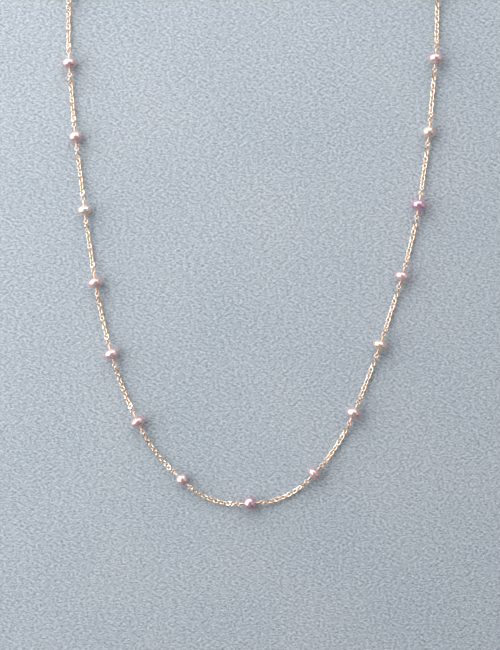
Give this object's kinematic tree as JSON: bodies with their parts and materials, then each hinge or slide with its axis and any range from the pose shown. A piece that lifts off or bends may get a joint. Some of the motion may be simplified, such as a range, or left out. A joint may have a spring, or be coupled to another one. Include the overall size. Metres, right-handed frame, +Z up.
{
  "type": "necklace",
  "caption": "Station necklace: small drilled pearls on wrapped wires joined by fine cable chain, with a lobster clasp and catch tag, laid out flat and unclasped.",
  "frame": {"origin": "middle of the laid-out necklace in plan, at the height of the surface the pearls lie on", "axes": "+Z up from the surface, +Y from the centre pearl towards the open ends, +X to the right-hand side seen from above"},
  "size_m": [0.1058, 0.1926, 0.0044],
  "materials": {
    "pearl_pink": "nacre, pink-lilac",
    "pearl_mauve": "nacre, mauve",
    "pearl_cream": "nacre, cream-peach",
    "gold": "polished gold plating",
    "gold_dark": "satin gold plating"
  },
  "bodies": {
    "wire_01": {"pearl_wire_01": "gold"},
    "pearl_01": {"pearl_01": "pearl_pink"},
    "wire_02": {"pearl_wire_02": "gold"},
    "pearl_02": {"pearl_02": "pearl_pink"},
    "wire_03": {"pearl_wire_03": "gold"},
    "pearl_03": {"pearl_03": "pearl_pink"},
    "wire_04": {"pearl_wire_04": "gold"},
    "pearl_04": {"pearl_04": "pearl_cream"},
    "wire_05": {"pearl_wire_05": "gold"},
    "pearl_05": {"pearl_05": "pearl_pink"},
    "wire_06": {"pearl_wire_06": "gold"},
    "pearl_06": {"pearl_06": "pearl_pink"},
    "wire_07": {"pearl_wire_07": "gold"},
    "pearl_07": {"pearl_07": "pearl_pink"},
    "wire_08": {"pearl_wire_08": "gold"},
    "pearl_08": {"pearl_08": "pearl_pink"},
    "wire_09": {"pearl_wire_09": "gold"},
    "pearl_09": {"pearl_09": "pearl_mauve"},
    "wire_10": {"pearl_wire_10": "gold"},
    "pearl_10": {"pearl_10": "pearl_pink"},
    "wire_11": {"pearl_wire_11": "gold"},
    "pearl_11": {"pearl_11": "pearl_pink"},
    "wire_12": {"pearl_wire_12": "gold"},
    "pearl_12": {"pearl_12": "pearl_cream"},
    "wire_13": {"pearl_wire_13": "gold"},
    "pearl_13": {"pearl_13": "pearl_pink"},
    "wire_14": {"pearl_wire_14": "gold"},
    "pearl_14": {"pearl_14": "pearl_mauve"},
    "wire_15": {"pearl_wire_15": "gold"},
    "pearl_15": {"pearl_15": "pearl_cream"},
    "wire_16": {"pearl_wire_16": "gold"},
    "pearl_16": {"pearl_16": "pearl_pink"},
    "wire_17": {"pearl_wire_17": "gold"},
    "pearl_17": {"pearl_17": "pearl_pink"},
    "chain_09": {"chain_run_09": "gold"},
    "chain_10": {"chain_run_10": "gold"},
    "chain_11": {"chain_run_11": "gold"},
    "chain_12": {"chain_run_12": "gold"},
    "chain_13": {"chain_run_13": "gold"},
    "chain_14": {"chain_run_14": "gold"},
    "chain_15": {"chain_run_15": "gold"},
    "chain_16": {"chain_run_16": "gold"},
    "back_right_1": {"back_chain_right_1": "gold"},
    "back_right_2": {"back_chain_right_2": "gold"},
    "chain_08": {"chain_run_08": "gold"},
    "chain_07": {"chain_run_07": "gold"},
    "chain_06": {"chain_run_06": "gold"},
    "chain_05": {"chain_run_05": "gold"},
    "chain_04": {"chain_run_04": "gold"},
    "chain_03": {"chain_run_03": "gold"},
    "chain_02": {"chain_run_02": "gold"},
    "chain_01": {"chain_run_01": "gold"},
    "back_left_1": {"back_chain_left_1": "gold"},
    "back_left_2": {"back_chain_left_2": "gold"},
    "jump_ring": {"clasp_jump_ring": "gold"},
    "clasp": {"clasp_body": "gold", "clasp_pin": "gold_dark"},
    "lever": {"clasp_lever": "gold", "clasp_spring": "gold_dark"},
    "catch_tag": {"catch_tag": "gold"}
  },
  "joints": [
    {"name": "clasp_lever_pivot", "type": "hinge", "parent": "clasp", "child": "lever", "pos_m": [0.03915, 0.09154, 0.00118], "axis": [0, 0, 1], "range_deg": [0, 28], "stiffness_Nm_per_rad": 0.003, "springref_deg": -8.59},
    {"name": "clasp_swing", "type": "hinge", "parent": "jump_ring", "child": "clasp", "pos_m": [0.0407, 0.08836, 0.00118], "axis": [0, 0, 1], "range_deg": [-60, 60]},
    {"name": "jump_ring_lift", "type": "hinge", "parent": "back_right_2", "child": "jump_ring", "pos_m": [0.04145, 0.08708, 0.00123], "axis": [0.866, 0.5, 0], "range_deg": [-30, 55]},
    {"name": "catch_tag_lift", "type": "hinge", "parent": "back_left_2", "child": "catch_tag", "pos_m": [-0.04063, 0.08603, 0.00082], "axis": [0.8572, -0.515, 0], "range_deg": [-50, 60]},
    {"name": "chain_09_swing", "type": "hinge", "parent": "wire_09", "child": "chain_09", "pos_m": [0.00247, -0.09421, 0.00187], "axis": [0, 0, 1], "range_deg": [-45, 20]},
    {"name": "wire_10_lift", "type": "hinge", "parent": "chain_09", "child": "wire_10", "pos_m": [0.01441, -0.0888, 0.00205], "axis": [0.7314, -0.682, 0], "range_deg": [-45, 45]},
    {"name": "chain_08_swing", "type": "hinge", "parent": "wire_09", "child": "chain_08", "pos_m": [-0.0043, -0.09463, 0.00187], "axis": [0, 0, 1], "range_deg": [-20, 45]},
    {"name": "chain_10_swing", "type": "hinge", "parent": "wire_10", "child": "chain_10", "pos_m": [0.01897, -0.08392, 0.00205], "axis": [0, 0, -1], "range_deg": [-20, 45]},
    {"name": "wire_11_lift", "type": "hinge", "parent": "chain_10", "child": "wire_11", "pos_m": [0.02629, -0.07291, 0.0022], "axis": [-0.9171, 0.3987, 0], "range_deg": [-45, 45]},
    {"name": "chain_11_swing", "type": "hinge", "parent": "wire_11", "child": "chain_11", "pos_m": [0.02908, -0.06651, 0.0022], "axis": [0, 0, 1], "range_deg": [-45, 25]},
    {"name": "wire_12_lift", "type": "hinge", "parent": "chain_11", "child": "wire_12", "pos_m": [0.03388, -0.0542, 0.0022], "axis": [0.9455, -0.3256, 0], "range_deg": [-45, 45]},
    {"name": "chain_12_swing", "type": "hinge", "parent": "wire_12", "child": "chain_12", "pos_m": [0.03611, -0.04775, 0.0022], "axis": [0, 0, -1], "range_deg": [-30, 45]},
    {"name": "wire_13_lift", "type": "hinge", "parent": "chain_12", "child": "wire_13", "pos_m": [0.04015, -0.03517, 0.0022], "axis": [-0.9588, 0.284, 0], "range_deg": [-45, 45]},
    {"name": "chain_13_swing", "type": "hinge", "parent": "wire_13", "child": "chain_13", "pos_m": [0.04207, -0.02866, 0.0022], "axis": [0, 0, 1], "range_deg": [-45, 40]},
    {"name": "wire_14_lift", "type": "hinge", "parent": "chain_13", "child": "wire_14", "pos_m": [0.04512, -0.01583, 0.00222], "axis": [0.9848, -0.1736, 0], "range_deg": [-45, 45]},
    {"name": "chain_14_swing", "type": "hinge", "parent": "wire_14", "child": "chain_14", "pos_m": [0.04636, -0.0088, 0.00222], "axis": [0, 0, -1], "range_deg": [-45, 45]},
    {"name": "wire_15_lift", "type": "hinge", "parent": "chain_14", "child": "wire_15", "pos_m": [0.04823, 0.00439, 0.00187], "axis": [-0.9945, 0.1045, 0], "range_deg": [-45, 45]},
    {"name": "chain_15_swing", "type": "hinge", "parent": "wire_15", "child": "chain_15", "pos_m": [0.04898, 0.01148, 0.00187], "axis": [0, 0, 1], "range_deg": [-45, 45]},
    {"name": "wire_16_lift", "type": "hinge", "parent": "chain_15", "child": "wire_16", "pos_m": [0.05015, 0.02481, 0.0021], "axis": [0.9976, -0.0698, 0], "range_deg": [-45, 45]},
    {"name": "chain_16_swing", "type": "hinge", "parent": "wire_16", "child": "chain_16", "pos_m": [0.05064, 0.03172, 0.0021], "axis": [0, 0, -1], "range_deg": [-45, 45]},
    {"name": "wire_17_lift", "type": "hinge", "parent": "chain_16", "child": "wire_17", "pos_m": [0.05089, 0.045, 0.00213], "axis": [-0.9994, -0.0349, 0], "range_deg": [-45, 45]},
    {"name": "back_right_1_swing", "type": "hinge", "parent": "wire_17", "child": "back_right_1", "pos_m": [0.05065, 0.05198, 0.00213], "axis": [0, 0, 1], "range_deg": [-45, 45]},
    {"name": "back_right_2_swing", "type": "hinge", "parent": "back_right_1", "child": "back_right_2", "pos_m": [0.04795, 0.07113, 0.00082], "axis": [0, 0, -1], "range_deg": [-45, 45]},
    {"name": "wire_08_lift", "type": "hinge", "parent": "chain_08", "child": "wire_08", "pos_m": [-0.01681, -0.09045, 0.00172], "axis": [0.6691, 0.7431, 0], "range_deg": [-45, 45]},
    {"name": "chain_07_swing", "type": "hinge", "parent": "wire_08", "child": "chain_07", "pos_m": [-0.02207, -0.08571, 0.00172], "axis": [0, 0, -1], "range_deg": [-45, 25]},
    {"name": "wire_07_lift", "type": "hinge", "parent": "chain_07", "child": "wire_07", "pos_m": [-0.03022, -0.07518, 0.0022], "axis": [-0.8949, -0.4462, 0], "range_deg": [-45, 45]},
    {"name": "chain_06_swing", "type": "hinge", "parent": "wire_07", "child": "chain_06", "pos_m": [-0.03327, -0.06907, 0.0022], "axis": [0, 0, 1], "range_deg": [-25, 45]},
    {"name": "wire_06_lift", "type": "hinge", "parent": "chain_06", "child": "wire_06", "pos_m": [-0.0381, -0.05678, 0.00217], "axis": [0.9613, 0.2756, 0], "range_deg": [-45, 45]},
    {"name": "chain_05_swing", "type": "hinge", "parent": "wire_06", "child": "chain_05", "pos_m": [-0.04002, -0.05007, 0.00217], "axis": [0, 0, -1], "range_deg": [-45, 35]},
    {"name": "wire_05_lift", "type": "hinge", "parent": "chain_05", "child": "wire_05", "pos_m": [-0.04298, -0.03715, 0.00213], "axis": [-0.9863, -0.165, 0], "range_deg": [-45, 45]},
    {"name": "chain_04_swing", "type": "hinge", "parent": "wire_05", "child": "chain_04", "pos_m": [-0.04413, -0.03027, 0.00213], "axis": [0, 0, 1], "range_deg": [-40, 45]},
    {"name": "wire_04_lift", "type": "hinge", "parent": "chain_04", "child": "wire_04", "pos_m": [-0.04611, -0.01708, 0.00198], "axis": [0.9914, 0.1305, 0], "range_deg": [-45, 45]},
    {"name": "chain_03_swing", "type": "hinge", "parent": "wire_04", "child": "chain_03", "pos_m": [-0.047, -0.01031, 0.00198], "axis": [0, 0, -1], "range_deg": [-45, 45]},
    {"name": "wire_03_lift", "type": "hinge", "parent": "chain_03", "child": "wire_03", "pos_m": [-0.04863, 0.00298, 0.00198], "axis": [-0.9936, -0.1132, 0], "range_deg": [-45, 45]},
    {"name": "chain_02_swing", "type": "hinge", "parent": "wire_03", "child": "chain_02", "pos_m": [-0.04945, 0.01012, 0.00198], "axis": [0, 0, 1], "range_deg": [-45, 45]},
    {"name": "wire_02_lift", "type": "hinge", "parent": "chain_02", "child": "wire_02", "pos_m": [-0.05057, 0.02341, 0.00213], "axis": [0.9986, 0.0523, 0], "range_deg": [-45, 45]},
    {"name": "chain_01_swing", "type": "hinge", "parent": "wire_02", "child": "chain_01", "pos_m": [-0.05093, 0.03038, 0.00213], "axis": [0, 0, -1], "range_deg": [-45, 45]},
    {"name": "wire_01_lift", "type": "hinge", "parent": "chain_01", "child": "wire_01", "pos_m": [-0.05096, 0.04367, 0.00208], "axis": [-0.9986, 0.0523, 0], "range_deg": [-45, 45]},
    {"name": "back_left_1_swing", "type": "hinge", "parent": "wire_01", "child": "back_left_1", "pos_m": [-0.0506, 0.05059, 0.00208], "axis": [0, 0, 1], "range_deg": [-45, 45]},
    {"name": "back_left_2_swing", "type": "hinge", "parent": "back_left_1", "child": "back_left_2", "pos_m": [-0.04756, 0.06972, 0.00082], "axis": [0, 0, -1], "range_deg": [-45, 45]},
    {"name": "pearl_01_spin", "type": "hinge", "parent": "wire_01", "child": "pearl_01", "pos_m": [-0.05076, 0.04738, 0.00208], "axis": [-0.0523, -0.9986, 0], "continuous": true},
    {"name": "pearl_02_spin", "type": "hinge", "parent": "wire_02", "child": "pearl_02", "pos_m": [-0.05076, 0.02714, 0.00213], "axis": [0.0523, -0.9986, 0], "continuous": true},
    {"name": "pearl_03_spin", "type": "hinge", "parent": "wire_03", "child": "pearl_03", "pos_m": [-0.04907, 0.0068, 0.00198], "axis": [0.1132, -0.9936, 0], "continuous": true},
    {"name": "pearl_04_spin", "type": "hinge", "parent": "wire_04", "child": "pearl_04", "pos_m": [-0.04658, -0.01345, 0.00198], "axis": [0.1305, -0.9914, 0], "continuous": true},
    {"name": "pearl_05_spin", "type": "hinge", "parent": "wire_05", "child": "pearl_05", "pos_m": [-0.04359, -0.03346, 0.00213], "axis": [0.165, -0.9863, 0], "continuous": true},
    {"name": "pearl_06_spin", "type": "hinge", "parent": "wire_06", "child": "pearl_06", "pos_m": [-0.03913, -0.05318, 0.00217], "axis": [0.2756, -0.9613, 0], "continuous": true},
    {"name": "pearl_07_spin", "type": "hinge", "parent": "wire_07", "child": "pearl_07", "pos_m": [-0.03186, -0.0719, 0.0022], "axis": [0.4462, -0.8949, 0], "continuous": true},
    {"name": "pearl_08_spin", "type": "hinge", "parent": "wire_08", "child": "pearl_08", "pos_m": [-0.01963, -0.08791, 0.00172], "axis": [0.7431, -0.6691, 0], "continuous": true},
    {"name": "pearl_09_spin", "type": "hinge", "parent": "wire_09", "child": "pearl_09", "pos_m": [-0.00092, -0.09442, 0.00187], "axis": [0.9981, 0.061, 0], "continuous": true},
    {"name": "pearl_10_spin", "type": "hinge", "parent": "wire_10", "child": "pearl_10", "pos_m": [0.01686, -0.08618, 0.00205], "axis": [0.682, 0.7314, 0], "continuous": true},
    {"name": "pearl_11_spin", "type": "hinge", "parent": "wire_11", "child": "pearl_11", "pos_m": [0.02779, -0.06948, 0.0022], "axis": [0.3987, 0.9171, 0], "continuous": true},
    {"name": "pearl_12_spin", "type": "hinge", "parent": "wire_12", "child": "pearl_12", "pos_m": [0.03508, -0.05074, 0.0022], "axis": [0.3256, 0.9455, 0], "continuous": true},
    {"name": "pearl_13_spin", "type": "hinge", "parent": "wire_13", "child": "pearl_13", "pos_m": [0.04118, -0.03168, 0.0022], "axis": [0.284, 0.9588, 0], "continuous": true},
    {"name": "pearl_14_spin", "type": "hinge", "parent": "wire_14", "child": "pearl_14", "pos_m": [0.04579, -0.01207, 0.00222], "axis": [0.1736, 0.9848, 0], "continuous": true},
    {"name": "pearl_15_spin", "type": "hinge", "parent": "wire_15", "child": "pearl_15", "pos_m": [0.04863, 0.00818, 0.00187], "axis": [0.1045, 0.9945, 0], "continuous": true},
    {"name": "pearl_16_spin", "type": "hinge", "parent": "wire_16", "child": "pearl_16", "pos_m": [0.05041, 0.02851, 0.0021], "axis": [0.0698, 0.9976, 0], "continuous": true},
    {"name": "pearl_17_spin", "type": "hinge", "parent": "wire_17", "child": "pearl_17", "pos_m": [0.05076, 0.04874, 0.00213], "axis": [-0.0349, 0.9994, 0], "continuous": true}
  ]
}
